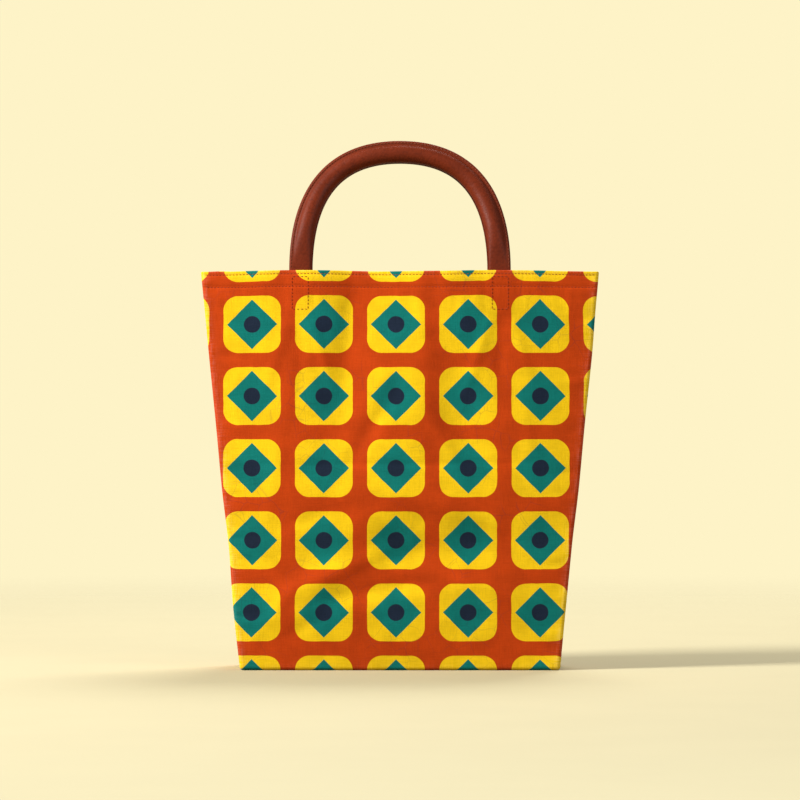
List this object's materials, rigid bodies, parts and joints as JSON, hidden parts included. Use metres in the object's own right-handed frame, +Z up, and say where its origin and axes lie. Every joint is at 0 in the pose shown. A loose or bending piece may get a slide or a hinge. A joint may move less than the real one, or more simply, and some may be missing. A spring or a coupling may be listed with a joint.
{
  "type": "tote bag",
  "caption": "Tapered standing tote bag of printed cotton with inward-folding side gussets, a flat base and upright padded leather handles.",
  "frame": {"origin": "middle of the flat base, on the floor", "axes": "+Z up through the mouth, +X to the right as seen from the front, and the front faces -Y"},
  "size_m": [0.4, 0.1198, 0.531],
  "materials": {
    "wax_print": "plain-woven cotton with a geometric wax print, matt",
    "handle_leather": "smooth brown leather, slightly waxed"
  },
  "bodies": {
    "root": {"front_panel": "wax_print", "back_panel": "wax_print", "right_gusset": "wax_print", "left_gusset": "wax_print", "base_panel": "wax_print", "front_handle": "handle_leather", "back_handle": "handle_leather"}
  },
  "joints": []
}
